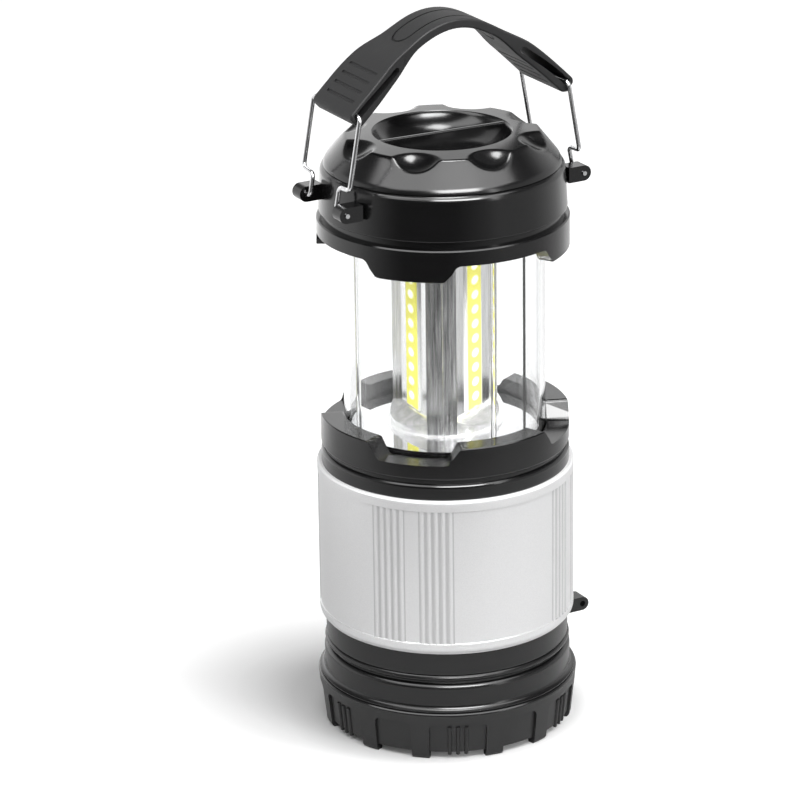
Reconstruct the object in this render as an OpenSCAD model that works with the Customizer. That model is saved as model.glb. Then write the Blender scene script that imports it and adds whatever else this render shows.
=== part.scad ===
// Collapsible camping lantern with a carrying strap. Millimetres, +Z up.
// The origin is the centre of the footprint on the floor, on the lantern's axis.
// +X points along the strap, towards the lanyard eyelet. Heights are above the floor.
// The head (cap, clear tube, lamp column and carriage) is drawn pulled up; it slides down into
// the base until the four cap tabs fill the four collar notches.

/* [Base] */
// Outer radius of the body under the sleeve
body_r = 40.5; // [40.2:0.1:40.6]
// Radius of the bore that the head slides in
bore_r = 38.3; // [38.2:0.1:38.4]
// Height of the joint between the twist-off cover and the body
split_z = 17.2; // [17.1:0.1:17.3]
// Underside of the floor that closes the bore
floor_z = 22.2; // [22.1:0.1:22.4]
// Thickness of that floor
floor_t = 2.2; // [2:0.1:2.3]
// Reach of the lanyard eyelet from the axis
eyelet_reach = 54; // [52:0.5:56]
// Diameter of the eyelet's hole
eyelet_hole_d = 2; // [1.6:0.1:2.4]

/* [Sleeve] */
// Outer radius of the sleeve
sleeve_r = 42.5; // [42.2:0.1:42.7]
// Height of the sleeve's lower edge
sleeve_z = 37.6; // [37:0.1:38]
// Height of the sleeve's upper edge
sleeve_top_z = 91.4; // [91:0.1:91.4]
// Radius of each upright bead
bead_r = 0.85; // [0.7:0.05:0.95]
// Angle from one bead to the next
bead_pitch = 3.15; // [2.9:0.05:3.3]
// Beads in each group; two groups make a pair
beads = 5; // [3:1:5]

/* [Collar] */
// Outer radius of the notched collar
collar_r = 41; // [40.8:0.1:41.2]
// Bore of the collar, which guides the clear tube
collar_bore_r = 33.6; // [33.5:0.05:33.8]
// Top of the collar
collar_top_z = 108.9; // [108.5:0.1:109.2]
// Depth of the four notches
notch_depth = 5.7; // [5:0.1:6]
// Half width of a notch at the top of the collar
notch_half_top = 17; // [16.8:0.1:18]
// Half width of a notch at its floor
notch_half_floor = 12.3; // [12.1:0.1:13]

/* [Twist-off cover] */
// Radius of the grip ring at its widest
grip_r = 43.4; // [43:0.1:43.8]
// Height of that widest line
grip_z = 16.1; // [15.5:0.1:16.5]
// Height of the underside above the floor
underside_z = 2.4; // [2:0.1:2.6]
// Depth of the pockets between the teeth
pocket_depth = 0.9; // [0.6:0.1:1.1]
// Turn of the grip pattern about the axis
grip_turn = 5; // [0:1:10]

/* [Batteries] */
// Diameter of an AA cell
cell_d = 14.4; // [14:0.1:14.5]
// Length of an AA cell with its nub
cell_l = 50.5; // [49.5:0.1:50.6]
// Height of the cells' axes
cell_z = 12.5; // [12.4:0.1:12.6]

/* [Head] */
// Travel from pulled up to pushed home
travel = 61.6; // [60:0.1:61.6]
// Outer radius of the clear tube
globe_r = 33.2; // [33:0.05:33.3]
// Wall of the clear tube
globe_wall = 1.8; // [1.5:0.1:2]
// Outer radius of the cap's tabbed ring
cap_r = 41.2; // [41:0.1:41.4]
// Lower edge of that ring, between the tabs
cap_edge_z = 170.8; // [170.5:0.1:171]
// Depth of the four tabs
tab_depth = 5.5; // [5:0.1:5.5]
// Radius of the lamp column's three ridges
column_r = 18; // [17:0.1:18.5]
// Width of each ridge
ridge_w = 9.8; // [9:0.1:10.5]
// Distance from the axis to the flats that carry the lamp strips
flat_d = 11.1; // [10.8:0.1:11.4]
// Turn of the lamp column about the axis
column_turn = -2.7; // [-6:0.1:6]
// Radius of the eight scallops cut round the top
scallop_r = 12.9; // [12.4:0.1:13]
// Turn of the finger bar in the dish
bar_turn = -3; // [-8:1:8]

/* [Handle] */
// Diameter of the steel wire
wire_d = 1.5; // [1.4:0.1:1.6]
// Distance of the bail pins from the axis
pin_x = 43.8; // [43.5:0.1:44]
// Height of the bail pins
pin_z = 186.2; // [186:0.1:186.4]
// Length of a bail from its pins to its crossbar
bail_l = 31.8; // [31.6:0.1:32]
// Inward lean of a bail with the handle up
lean_up = 10.2; // [10:0.1:10.5]
// Inward lean of a bail with the handle pressed down
lean_down = 32; // [30:0.5:32]
// Drop of the strap between those two positions
strap_drop = 13.8; // [13.6:0.1:14]
// Half width of the strap at its paddle ends
paddle_half = 12.7; // [12:0.1:12.9]
// Half width of the strap in the middle
waist_half = 9.1; // [9:0.1:10.5]
// Height of the strap's centre line at the middle
strap_z = 241.2; // [241:0.1:242]
// Sideways rest of the loose strap on its crossbars
strap_rest_y = -1.6; // [-1.8:0.1:1.8]

/* [Hidden] */
$fn = 96;

black = "#1c1c1e";
dark_grey = "#3a3b3d";
steel = "#c9ccd0";

// Base
skirt_r = 38.4;            // outer radius of the skirt that the cover turns on
skirt_in_r = 36.6;
skirt_z = 12;
heel_r = 41.2;             // outer radius of the heel, the lowest ring of the body, above its flare
heel_top_z = 26.4;
heel_round = 1.8;          // rounding of its upper edge, and of the flare at its lower edge
groove_r = 39.5;           // bottom of the groove over the heel
ledge_z = 29.5;
seal_z = 15.4;
floor_top_z = floor_z + floor_t;
tongue_r = 39.4;           // split radius of the rebate between body and collar
tongue_z = 87.9;
lug_half_angle = 8;
lug_r = 39.6;
eyelet_tip_r = 2.4;
eyelet_x = eyelet_reach - eyelet_tip_r;
eyelet_root_x = 39;
eyelet_z = 27.7;
eyelet_t = 6;
strip_top_z = 87.4;
strip_bend_z = 45;

// Collar and cap
lip_z = 98.9;
notch_turn = 45;           // the notches stand on the diagonals
tab_gap = 0.5;
tab_half_top = notch_half_top - tab_gap;
tab_half_floor = notch_half_floor - tab_gap;
tab_round = 3.5;           // corner radius of the tabs
cap_bevel = 0.4;
web_z = 173.9;
web_t = 2;
collar_low_z = web_z + web_t;
cap_top_z = 193.3;
shoulder_round = 2.2;      // rounding of the cap's upper edge
cap_in_r = 37.6;

// Carriage and lamp
carriage_z = floor_top_z + travel + 0.9;
piston_z = 98.6;
plate_z = 103.5;
flange_z = 104.5;
flange_r = 19.2;
flange_top_z = 105;
lobe_top_z = 110.5;        // the foot's lobes meet the column's flats here
lobe_low_z = 106.5;        // and fall outwards to here
column_top_z = 170;
board_t = 0.6;
strip_t = 0.4;
mould_line_turn = 239.7;   // the two fine mould lines of the clear tube
led_board_w = 9.2;
led_strip_w = 7.8;
driver_z = 179;            // underside of the driver board
driver_t = 1.6;
driver_screw_x = 19;
cap_screw_x = 28.5;        // circle of the screws that close the cap
screw_head_r = 2.8;
screw_head_t = 1.9;
head_clear = 0.3;          // room round a screw head

// Dome
rim_r = 23.4;
rim_z = 203.5;
shoulder_r = 31.8;
shoulder_z = 202.8;
dish_z = 196.3;
dish_fillet = 12;
dish_flat_r = 11.5;
scallop_x = 35.5;
scallop_z = 199.4 + scallop_r;

stand_r = 33.4;            // ring under the cover that stands on the floor with the teeth

// Batteries
cell_pitch = cell_d + 0.4;
nub_l = 1;
nub_r = 2.75;
end_x = 27.2;              // inner face of the tray's end walls
plate_t = 0.5;
tray_z = 20.1;
tray_t = 2;
screw_r = 31.8;

// Handle
wire_r = wire_d / 2;
pin_reach = 16.7;
leg_low_y = 8.8;           // the legs stand here under the jog
leg_y = paddle_half + 2.8; // and here above it
jog_in = 7.4;
jog_out = 8;
bend_r = 1.8;              // centre line radius of the wire's bends
ear_y = 10.9;
ear_outer_y = 16.15;
ear_r = 2.6;
slot_r = wire_r + 0.35;
curve_b = 23.4;            // the strap follows z = strap_z - curve_a (sqrt(x^2 + b^2) - b)
curve_a = 1.15;
strap_end_x = 39.6;
waist_half_t = 1.5;
paddle_half_t = 2.9;
end_round = 1.9;
slot_run_on = 4.6;
line_half_l = 18.3;
line_half_w = 4.5;

module tube(r_out, r_in, z0, z1) {
    translate([0, 0, z0]) difference() {
        cylinder(r = r_out, h = z1 - z0);
        translate([0, 0, -1]) cylinder(r = r_in, h = z1 - z0 + 2);
    }
}

module around(n, first = 0) {
    for (k = [0 : n - 1]) rotate(first + k * 360 / n) children();
}

// Sector of a ring, centred on +X
module sector(r_out, r_in, z0, z1, half_angle) {
    translate([0, 0, z0]) rotate(-half_angle)
        rotate_extrude(angle = 2 * half_angle) translate([r_in, 0]) square([r_out - r_in, z1 - z0]);
}

// Cylinder between two points
module rod(a, b, r) {
    d = b - a;
    translate(a) rotate([0, acos(d.z / norm(d)), atan2(d.y, d.x)]) cylinder(r = r, h = norm(d), $fn = 24);
}

// Points of a rounded corner at c between the directions a and b, with radius r
function arc(c, r, from, to, n = 6) =
    [for (k = [0 : n]) let (t = from + (to - from) * k / n) c + r * [cos(t), sin(t)]];

// Half outline of a notch or tab: flat end of half width w0, a rounded corner, a slope
// and a rounded mouth of half width w1 at height h
function flank(w0, w1, h, r) =
    let (slope = atan2(h, w1 - w0), turn = r * tan(slope / 2))
    concat(arc([w0 - turn, r], r, -90, -90 + slope, 5),
        arc([w1 + turn, h - r], r, 90 + slope, 90, 5));

// Outline that widens from w0 at height 0 to w1 at height h, carried on above h by lip
function notch_outline(w0, w1, h, r, lip) =
    let (side = flank(w0, w1, h, r), edge = side[len(side) - 1].x)
    concat(side, [[edge, h + lip], [-edge, h + lip]],
        [for (k = [len(side) - 1 : -1 : 0]) [-side[k].x, side[k].y]]);

// Radial prism on +X whose width shrinks towards the axis, so its flanks are radial.
// The outline is at true size at radius r_true.
module radial_prism(outline, r_in, r_out, r_true) {
    translate([r_out, 0, 0]) rotate([90, 0, -90]) mirror([1, 0, 0])
        linear_extrude(height = r_out - r_in, scale = [r_in / r_out, 1], slices = 1, segments = 0)
            scale([r_out / r_true, 1]) polygon(outline);
}

// ---------- base ----------

module base_housing() color(black) difference() {
    union() {
        rotate_extrude() polygon(concat(
            [[0, floor_z], [skirt_in_r, floor_z], [skirt_in_r, skirt_z], [skirt_r, skirt_z],
                [skirt_r, split_z], [heel_r + heel_round - 0.3, split_z]],
            arc([heel_r + heel_round, split_z + 0.3 + heel_round], heel_round, 260, 180, 8),
            arc([heel_r - heel_round, heel_top_z - heel_round], heel_round, 0, 85, 8),
            [[groove_r, heel_top_z + 0.1], [groove_r, 27.2]],
            arc([body_r - 0.6, ledge_z - 1.1], 1.1, -80, 80, 8),
            [[body_r - 0.1, ledge_z + 0.2], [body_r, ledge_z + 0.6], [body_r, sleeve_top_z - 0.2],
                [tongue_r, sleeve_top_z - 0.2], [tongue_r, tongue_z], [bore_r, tongue_z],
                [bore_r, floor_top_z], [0, floor_top_z]]));
        around(3, 30) sector(lug_r, skirt_r - 0.5, skirt_z + 0.2, skirt_z + 2, lug_half_angle);
        lanyard_eyelet();
    }
    tube(skirt_r + 0.1, skirt_r - 0.3, seal_z - 1, seal_z + 1);
    translate([eyelet_x, 0, eyelet_z]) rotate([90, 0, 0])
        cylinder(d = eyelet_hole_d, h = eyelet_t + 2, center = true);
    around(2, 90) strip_path(0.1);
    around(4) translate([screw_r, 0, floor_z - 1]) cylinder(r = 1.15, h = 2.8, $fn = 24);
}

module lanyard_eyelet() {
    translate([eyelet_x, 0, eyelet_z]) rotate([90, 0, 0]) {
        cylinder(r = eyelet_tip_r, h = eyelet_t, center = true);
        translate([-(eyelet_x - eyelet_root_x) / 2, 0, 0])
            cube([eyelet_x - eyelet_root_x, 2 * eyelet_tip_r, eyelet_t], center = true);
    }
}

// Strip in the wall of the bore: the upper length is flush with the bore and meets the wiper,
// the tail lies deeper, so the lamp is off while the head is down
module strip_path(clear) {
    sector(bore_r + 0.55 + clear, bore_r + 0.05 - clear * 10, strip_bend_z, strip_top_z + clear, 4.5);
    sector(bore_r + 0.9 + clear, bore_r + 0.4 - clear * 10, floor_top_z, strip_bend_z + 0.2, 3);
}

module contact_strips() color("#b08d4c") around(2, 90) strip_path(0);

module sleeve() color("#e6e7e8") {
    panel_r = sleeve_r - 0.4;
    bead_low_z = sleeve_z + 4;
    bead_high_z = sleeve_top_z - 3.7;
    rotate_extrude() polygon(concat(
        [[body_r + 0.1, sleeve_z], [sleeve_r - 1.2, sleeve_z]],
        arc([sleeve_r - 2.2, sleeve_z + 2.2], 2.2, -60, 0, 5),
        [[sleeve_r, bead_low_z - 0.2], [panel_r, bead_low_z], [panel_r, bead_high_z],
            [sleeve_r, bead_high_z + 0.2], [sleeve_r, sleeve_top_z - 0.5],
            [sleeve_r - 0.6, sleeve_top_z], [body_r + 0.1, sleeve_top_z]]));
    around(4, 45) for (side = [-1, 1], k = [0 : beads - 1])
        rotate(side * (4.75 + k * bead_pitch))
            translate([sleeve_r - 0.05 - bead_r, 0, bead_low_z - 0.6])
                cylinder(r = bead_r, h = bead_high_z - bead_low_z + 1.2, $fn = 24);
}

module collar_ring() color(black) difference() {
    rotate_extrude() polygon(concat([
        [collar_bore_r, lip_z], [collar_bore_r + 1.8, lip_z], [collar_bore_r + 1.8, 101],
        [bore_r + 0.1, 101], [bore_r + 0.1, tongue_z + 0.1], [tongue_r - 0.05, tongue_z + 0.1],
        [tongue_r - 0.05, sleeve_top_z], [collar_r, sleeve_top_z]],
        arc([collar_r - 1.2, 95.4], 1.2, 0, 85, 6),
        [[collar_r - 1.2, 96.7], [collar_r - 1.2, 98]],
        arc([collar_r - 0.8, 98.9], 0.8, -80, 0, 5),
        [[collar_r, collar_top_z - 0.3], [collar_r - 0.3, collar_top_z],
        [collar_bore_r + 0.4, collar_top_z], [collar_bore_r, collar_top_z - 0.4]]));
    around(4, notch_turn) translate([0, 0, collar_top_z - notch_depth])
        radial_prism(notch_outline(notch_half_floor, notch_half_top, notch_depth, 2, 4),
            collar_bore_r - 3, collar_r + 2, collar_r);
}

// ---------- batteries ----------

module battery_tray() color(dark_grey) difference() {
    wall_top_z = tray_z + 0.1;
    union() {
        tube(36.2, 0, tray_z, tray_z + tray_t);
        for (side = [-1, 1]) {
            translate([side * (end_x + 1) - 1, -21.5, 6]) cube([2, 43, wall_top_z - 6]);
            translate([-25, side * 23 - 0.6, 13]) cube([50, 1.2, wall_top_z - 13]);
            translate([-24, side * cell_pitch / 2, 0]) rotate([90, 0, 90])
                linear_extrude(height = 48) polygon([[-1.5, wall_top_z], [0, 17.4], [1.5, wall_top_z]]);
        }
    }
    around(4) translate([screw_r, 0, tray_z - 1]) cylinder(r = 1.4, h = tray_t + 2, $fn = 24);
    around(2, 90) sector(36.4, 33, tray_z - 1, tray_z + tray_t + 1, 8);
}

module tray_screws() color(steel) around(4) translate([screw_r, 0, tray_z - 1.5]) difference() {
    union() {
        cylinder(r = 2.1, h = 1.5, $fn = 32);
        cylinder(r = 1.1, h = 5.2, $fn = 24);
    }
    around(2) translate([0, 0, -0.1]) cube([2.6, 0.5, 1.4], center = true);
}

// Cell k of three; the middle one points the other way
function cell_side(k) = k == 2 ? -1 : 1;
nub_x = end_x - plate_t - 0.05;

module battery_cell(k) color("#7d8288")
    translate([0, (k - 2) * cell_pitch, cell_z]) rotate([0, 90 * cell_side(k), 0])
        translate([0, 0, nub_x - cell_l]) rotate_extrude() polygon([
            [0, 0.3], [5, 0.3], [5.4, 0], [cell_d / 2 - 0.4, 0], [cell_d / 2, 0.4],
            [cell_d / 2, cell_l - nub_l - 0.6], [cell_d / 2 - 0.6, cell_l - nub_l],
            [nub_r, cell_l - nub_l], [nub_r, cell_l - 0.3], [nub_r - 0.3, cell_l], [0, cell_l]]);

module battery_cell_1() battery_cell(1);
module battery_cell_2() battery_cell(2);
module battery_cell_3() battery_cell(3);

// Round wire swept along a coil that narrows from r0 to r1 over a height
module coil(r0, r1, height, turns, wire) {
    rings = turns * 14;
    sides = 6;
    path = [for (k = [0 : rings]) let (t = k / rings, a = 360 * turns * t, r = r0 + (r1 - r0) * t)
        [[r * cos(a), r * sin(a), height * t], a]];
    points = [for (p = path, s = [0 : sides - 1])
        let (out = wire * cos(360 * s / sides), up = wire * sin(360 * s / sides))
        p[0] + [out * cos(p[1]), out * sin(p[1]), up]];
    skin = [for (k = [0 : rings - 1], s = [0 : sides - 1]) let (n = (s + 1) % sides)
        [k * sides + s, (k + 1) * sides + s, (k + 1) * sides + n, k * sides + n]];
    ends = [[for (s = [0 : sides - 1]) s], [for (s = [sides - 1 : -1 : 0]) rings * sides + s]];
    polyhedron(points, concat(skin, ends), convexity = 8);
}

module contact_springs() color(steel) {
    room = 2 * (end_x - plate_t) - 0.05 - cell_l;
    for (k = [1 : 3]) translate([-cell_side(k) * (end_x - plate_t - 0.35), (k - 2) * cell_pitch, cell_z])
        rotate([0, 90 * cell_side(k), 0]) coil(4.6, 2.6, room - 0.7, 2.5, 0.3);
}

module contact_plates() color(steel) for (side = [-1, 1], k = [1 : 3])
    translate([side * (end_x - plate_t / 2), (k - 2) * cell_pitch, cell_z])
        cube([plate_t, 11, 11], center = true);

// ---------- twist-off cover ----------

// Outer radius of the grip ring at height z, below its widest line
function grip_radius(z) = 42 + (grip_r - 42) * (z - 3.4) / (grip_z - 3.4);

module cover_seal() color("#2b2b2b") rotate_extrude()
    translate([skirt_r + 0.55, seal_z]) circle(r = 0.8, $fn = 24);

module grip_pocket(half_w) {
    intersection() {
        rotate_extrude() polygon([[grip_radius(0) - pocket_depth, -1], [50, -1], [50, 16],
            [grip_radius(13) - pocket_depth, 13.2]]);
        radial_prism(concat([[-half_w, -2]], arc([-half_w + 2.2, 10.8], 2.2, 180, 90),
            arc([half_w - 2.2, 10.8], 2.2, 90, 0), [[half_w, -2]]), 36, 48, 43);
    }
    radial_prism([[-half_w, -2], [-half_w, underside_z], [half_w, underside_z], [half_w, -2]], 36, 48, 43);
}

module base_cover() color(dark_grey) {
    difference() {
        rotate_extrude() polygon([
            [0, underside_z], [stand_r - 3, underside_z], [stand_r - 2.6, 0], [stand_r, 0],
            [stand_r + 0.4, underside_z], [38.4, underside_z], [38.9, 0], [41, 0], [grip_radius(0.9), 0.9],
            [grip_r, grip_z], [grip_r - 0.1, grip_z + 0.4], [grip_r - 0.4, grip_z + 0.7],
            [grip_r - 0.8, grip_z + 0.8], [39.9, grip_z + 0.8], [39.9, 4.6], [0, 4.6]]);
        rotate(grip_turn) around(6) grip_pocket(43 * sin(13.35));
        rotate(grip_turn) around(6, 30) grip_pocket(43 * sin(8.9));
    }
    around(3, 30) sector(40.5, 38.7, skirt_z - 2.4, skirt_z - 0.4, lug_half_angle);
    rotate(grip_turn) around(6) for (a = [-3.8, 0, 3.8]) rotate(a)
        rod([grip_radius(1.4) - pocket_depth, 0, 1.6], [grip_radius(12) - pocket_depth, 0, 11.8], 0.65);
}

// ---------- sliding carriage and lamp ----------

module carriage() color(black) difference() {
    union() {
        tube(38, 36.2, carriage_z, piston_z - 2);
        tube(38, 4, piston_z - 2, piston_z);
        tube(globe_r - globe_wall - 0.2, 29.3, piston_z - 1, plate_z);
    }
    tube(39, 37.2, 91, 93);
    around(2, 90) translate([36.5, 0, carriage_z]) cube([5, 4.6, 5.4], center = true);
}

module slide_ring() color("#3c3c3c") tube(bore_r - 0.1, 37.25, 91.1, 92.9);

// Spring leaf under the piston that bears outwards on the strip in the bore
module contact_wipers() color("#b08d4c") around(2, 90) {
    translate([28, -2, piston_z - 2.5]) cube([8.1, 4, 0.5]);
    translate([35.6, -2, carriage_z + 1.6]) cube([0.5, 4, piston_z - 4.1 - carriage_z]);
    translate([0, 0, carriage_z + 1]) sector(bore_r - 0.05, 35.6, 0, 1, 2.4);
}

module reflector_plate() color("#e9ecef") tube(31, 4, plate_z, flange_z);

module globe() color([0.85, 0.9, 0.95, 0.35]) {
    tube(globe_r, globe_r - globe_wall, piston_z, web_z - 0.1);
    around(4) inner_rib(0.9);
    around(2, mould_line_turn) inner_rib(0.3);
}

// Upright rib on the inside of the clear tube
module inner_rib(r) translate([globe_r - globe_wall, 0, flange_z + 0.2]) cylinder(r = r, h = 64, $fn = 24);

// Three-ridged section of the lamp column, smaller by inset
module column_section(inset) {
    intersection() {
        circle(r = column_r - inset);
        union() {
            around(3) translate([0, -ridge_w / 2 + inset]) square([column_r, ridge_w - 2 * inset]);
            circle(r = 2 * (flat_d - inset), $fn = 3);
        }
    }
}

// Flange with a sloping lobe in front of each flat, between the ridges
module column_foot() color("#d6d9dc") rotate(column_turn) difference() {
    union() {
        tube(flange_r, 4, flange_z, flange_top_z);
        intersection() {
            translate([0, 0, flange_z + 0.1]) cylinder(r = column_r, h = 8);
            around(3, 60) rotate([90, 0, 0]) linear_extrude(height = 2 * column_r, center = true)
                polygon([[flat_d, flange_z], [column_r + 1, flange_z], [column_r + 1, lobe_low_z],
                    [flat_d, lobe_top_z]]);
        }
    }
    around(3) translate([0, -ridge_w / 2, flange_top_z]) cube([column_r + 1, ridge_w, 10]);
}

module led_column() color("#d9dcdf") rotate(column_turn) translate([0, 0, flange_top_z])
    linear_extrude(height = column_top_z - flange_top_z) difference() {
        column_section(0);
        column_section(1.5);
    }

module on_flat(k) rotate(column_turn + 60 + 120 * (k - 1)) children();

module led_board(k) color("#f3f3ee") on_flat(k)
    translate([flat_d, -led_board_w / 2, lobe_top_z + 0.1])
        cube([board_t, led_board_w, column_top_z - lobe_top_z - 0.3]);

module led_strip(k) color("#e6e85a") on_flat(k)
    translate([flat_d + board_t, -led_strip_w / 2, lobe_top_z + 0.4])
        cube([strip_t, led_strip_w, column_top_z - lobe_top_z - 1]);

module led_board_1() led_board(1);
module led_board_2() led_board(2);
module led_board_3() led_board(3);
module led_strip_1() led_strip(1);
module led_strip_2() led_strip(2);
module led_strip_3() led_strip(3);

module upper_reflector() color("#e9ecef") difference() {
    union() {
        tube(31.2, 6, column_top_z, column_top_z + 1.6);
        tube(31.2, 29.6, column_top_z + 1.5, web_z);
    }
    around(4, 45) translate([cap_screw_x, 0, web_z - screw_head_t - head_clear])
        cylinder(r = screw_head_r + head_clear, h = 4, $fn = 32);
}

// ---------- cap ----------

// Half width of the gap between two tabs, where a tab has this half width
function gap_half(tab_half) = collar_r * tan(45 - atan(tab_half / collar_r));

module cap_skirt() color(black) difference() {
    union() {
        difference() {
            rotate_extrude() polygon([[5, web_z], [36, web_z], [36, cap_edge_z - tab_depth],
                [cap_r - cap_bevel, cap_edge_z - tab_depth], [cap_r, cap_edge_z - tab_depth + cap_bevel],
                [cap_r, collar_low_z - cap_bevel], [cap_r - cap_bevel, collar_low_z], [5, collar_low_z]]);
            around(4) translate([0, 0, cap_edge_z]) mirror([0, 0, 1])
                radial_prism(notch_outline(gap_half(tab_half_top), gap_half(tab_half_floor), tab_depth,
                    tab_round, 2), 30, 44, collar_r);
        }
        tube(35.2, globe_r + 0.1, cap_edge_z, web_z + 0.1);
        around(3, 90) translate([driver_screw_x, 0, web_z + 1])
            cylinder(r = 2.6, h = driver_z - web_z - 1, $fn = 32);
    }
    around(3, 90) translate([driver_screw_x, 0, 176.5]) cylinder(r = 0.85, h = 5, $fn = 24);
    around(4, 45) translate([cap_screw_x, 0, web_z - 1]) cylinder(r = 1.7, h = 4, $fn = 24);
}

module driver_board() color("#2f6b3c") {
    part_z = driver_z + driver_t - 0.1;
    difference() {
        tube(23.5, 5, driver_z, driver_z + driver_t);
        around(3, 90) translate([driver_screw_x, 0, driver_z - 1]) cylinder(r = 1.2, h = 4, $fn = 24);
    }
    // Smoothing capacitor, inductor, driver chip and connector
    translate([-10, -9, part_z]) cylinder(r = 3.1, h = 7, $fn = 32);
    translate([8, -12, part_z]) cylinder(r = 4, h = 4.2, $fn = 32);
    translate([9, 6, part_z]) cube([5, 4, 1.7]);
    translate([-14, 5, part_z]) cube([6.5, 6.5, 2.2]);
}

module board_screws() color(steel) around(3, 90) translate([driver_screw_x, 0, driver_z + driver_t]) {
    cylinder(r = 1.9, h = 1.3, $fn = 32);
    translate([0, 0, -3.8]) cylinder(r = 0.8, h = 4, $fn = 24);
}

module cap_collar() color(black) difference() {
    union() {
        rotate_extrude() polygon(concat(
            [[25, collar_low_z], [39.4, collar_low_z], [39.4, 178.2]],
            arc([40, 178.9], 0.5, -70, 0, 4),
            arc([39.8 - shoulder_round, cap_top_z - shoulder_round], shoulder_round, 0, 75, 6),
            [[38, cap_top_z], [cap_in_r, cap_top_z], [cap_in_r, collar_low_z + 2],
                [25, collar_low_z + 2]]));
        for (sx = [-1, 1], sy = [-1, 1]) scale([sx, sy, 1]) bail_ear();
    }
    for (sx = [-1, 1]) translate([sx * pin_x, 0, pin_z]) rotate([90, 0, 0])
        cylinder(r = wire_r + 0.08, h = 40, center = true, $fn = 32);
    around(4, 45) translate([cap_screw_x, 0, collar_low_z - 1]) cylinder(r = 1.7, h = 4, $fn = 24);
}

module bail_ear() {
    translate([cap_in_r + 0.5, ear_y, pin_z - ear_r])
        cube([pin_x - cap_in_r - 0.5, ear_outer_y - ear_y, 2 * ear_r]);
    translate([pin_x, ear_outer_y, pin_z]) rotate([90, 0, 0])
        cylinder(r = ear_r, h = ear_outer_y - ear_y, $fn = 48);
}

module cap_dome() color(black) difference() {
    dish_arc_z = dish_z + dish_fillet;
    union() {
        rotate_extrude() polygon(concat(
            [[0, dish_z - 1.8], [12, dish_z - 1.8], [24, 197.6], [31.5, 197.6], [35.8, cap_top_z],
                [35.8, 189.5], [cap_in_r - 0.1, 189.5], [cap_in_r - 0.1, cap_top_z + 0.1],
                [38.6, cap_top_z + 0.1], [38.2, 194.7], [shoulder_r, shoulder_z],
                [shoulder_r - 0.5, shoulder_z + 0.2], [rim_r, rim_z]],
            arc([dish_flat_r, dish_arc_z], dish_fillet, -24, -90, 10),
            [[0, dish_z]]));
        finger_bar(dish_arc_z);
        around(4, 45) translate([cap_screw_x, 0, collar_low_z + 2.1]) cylinder(r = 3.2, h = 21, $fn = 32);
    }
    around(8) translate([scallop_x, 0, scallop_z]) sphere(r = scallop_r);
    around(4, 45) translate([cap_screw_x, 0, collar_low_z + 1]) cylinder(r = 1.15, h = 12, $fn = 24);
}

// Upright bar across the dish, pinched between two fingers to pull the head up
module finger_bar(dish_arc_z) rotate(bar_turn) intersection() {
    translate([-rim_r, -0.75, dish_z - 0.5]) cube([2 * rim_r, 1.5, rim_z - dish_z + 0.3]);
    rotate_extrude() polygon([[0, dish_z - 0.5], [dish_flat_r + 0.5, dish_z - 0.5], [20, 199.8],
        [rim_r - 0.5, 203], [rim_r - 0.9, rim_z - 0.2], [0, rim_z - 0.2]]);
}

module cap_screws() color(steel) around(4, 45) translate([cap_screw_x, 0, web_z - screw_head_t])
    difference() {
        union() {
            cylinder(r = screw_head_r, h = screw_head_t, $fn = 32);
            cylinder(r = 1.1, h = 12, $fn = 24);
        }
        around(2) translate([0, 0, -0.1]) cube([3.4, 0.6, 1.6], center = true);
    }

// ---------- handle ----------

// Wire of radius r along a flat path, with a rounded bend at every corner. The straights are
// a hair thinner than the bends and end inside them.
module bent_wire(path, r, bend) {
    last = len(path) - 1;
    step = 0.02;
    overlap = 0.15;
    function dir(k) = (path[k + 1] - path[k]) / norm(path[k + 1] - path[k]);
    function turn(k) = let (a = dir(k - 1), b = dir(k)) atan2(a.x * b.y - a.y * b.x, a * b);
    function setback(k) = (k == 0 || k == last) ? 0 : bend * tan(abs(turn(k)) / 2) - overlap;
    for (k = [0 : last - 1]) {
        a = path[k] + setback(k) * dir(k);
        b = path[k + 1] - setback(k + 1) * dir(k);
        rod([a.x, a.y, 0], [b.x, b.y, 0], r - step);
    }
    for (k = [1 : last - 1]) {
        side = sign(turn(k));
        start = dir(k - 1);
        centre = path[k] - (setback(k) + overlap) * start + side * bend * [-start.y, start.x];
        translate([centre.x, centre.y, 0]) rotate(atan2(-side * start.x, side * start.y))
            mirror([0, side < 0 ? 1 : 0, 0]) rotate_extrude(angle = abs(turn(k)), $fn = 64)
                translate([bend, 0]) circle(r = r, $fn = 24);
    }
}

// Wire bail on the +X side, leaning inwards: pins, jogs, legs and the crossbar in the strap
module bail() color(steel) translate([pin_x, 0, pin_z]) rotate([0, -lean_up, 0]) {
    leg = [[pin_reach, 0], [leg_low_y, 0], [leg_low_y, jog_in], [leg_y, jog_out], [leg_y, bail_l]];
    rotate([90, 0, 90])
        bent_wire(concat(leg, [for (k = [4 : -1 : 0]) [-leg[k].x, leg[k].y]]), wire_r, bend_r);
}

module right_bail() bail();
module left_bail() mirror([1, 0, 0]) bail();

// Smooth step from 0 at a to 1 at b
function blend(x, a, b) = let (t = max(0, min(1, (x - a) / (b - a)))) t * t * (3 - 2 * t);

// Centre line of the strap in the XZ plane and its unit normal
function strap_mid(x) = [x, strap_z - curve_a * (sqrt(x * x + curve_b * curve_b) - curve_b)];
function strap_normal(x) = let (m = curve_a * x / sqrt(x * x + curve_b * curve_b)) [m, 1] / norm([m, 1]);
function strap_half_t(x) = waist_half_t + (paddle_half_t - waist_half_t) * blend(abs(x), 15, 25);
strap_xs = [for (k = [0 : 24]) strap_end_x * k / 24];

// Mirrors a half outline that starts and ends on the centre plane
function both_halves(half) = concat(half, [for (k = [len(half) - 1 : -1 : 0]) [-half[k].x, half[k].y]]);

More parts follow.
